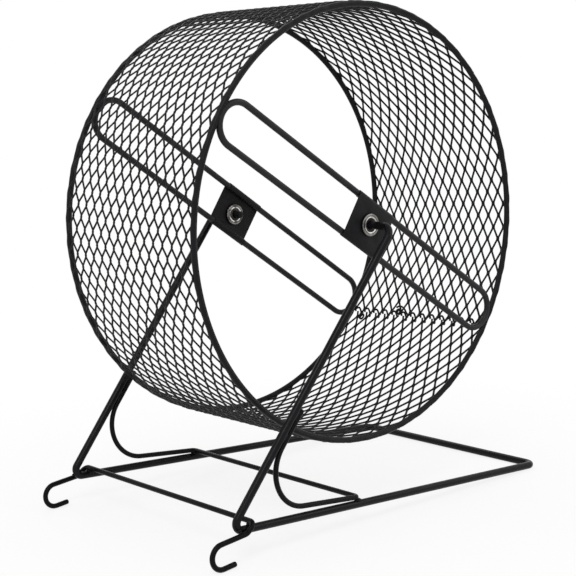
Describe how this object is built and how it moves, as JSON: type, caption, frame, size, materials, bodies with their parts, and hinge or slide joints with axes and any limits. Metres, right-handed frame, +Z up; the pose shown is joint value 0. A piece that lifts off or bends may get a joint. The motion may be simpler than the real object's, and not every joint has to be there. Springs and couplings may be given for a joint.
{
  "type": "hamster wheel",
  "caption": "Wire mesh running wheel for a small rodent, turning between the legs of a bent wire stand whose hooks hang on a cage wall.",
  "frame": {"origin": "on the floor, at the middle of the stand's bounding box", "axes": "+Z up, +Y along the axle from the pictured front side to the far side, +X along the runners from the hooks to the rear crossing"},
  "size_m": [0.2978, 0.1808, 0.3236],
  "materials": {
    "frame_coat": "black powder coat over steel wire",
    "hook_coat": "black powder coat over steel wire",
    "brace_coat": "black powder coat over steel wire",
    "rim_coat": "black powder coat over steel wire",
    "mesh_coat": "black coat over thin wire mesh",
    "lacing_coat": "black coat over thin wire",
    "loop_coat": "black powder coat over steel wire",
    "plate_coat": "black powder coat over sheet steel",
    "bushing_metal": "turned and plated"
  },
  "bodies": {
    "stand": {"main_frame_wire": "frame_coat", "hook_wire": "hook_coat", "brace_wire": "brace_coat"},
    "wheel": {"front_rim": "rim_coat", "rear_rim": "rim_coat", "drum_mesh": "mesh_coat", "seam_lacing_front": "lacing_coat", "seam_lacing_rear": "lacing_coat", "front_spoke_loop": "loop_coat", "rear_spoke_loop": "loop_coat", "front_hub_plate": "plate_coat", "rear_hub_plate": "plate_coat", "front_bushing": "bushing_metal", "rear_bushing": "bushing_metal"}
  },
  "joints": [
    {"name": "wheel_spin", "type": "hinge", "parent": "stand", "child": "wheel", "pos_m": [0.0039, 0, 0.18427], "axis": [0, 1, 0], "continuous": true}
  ]
}
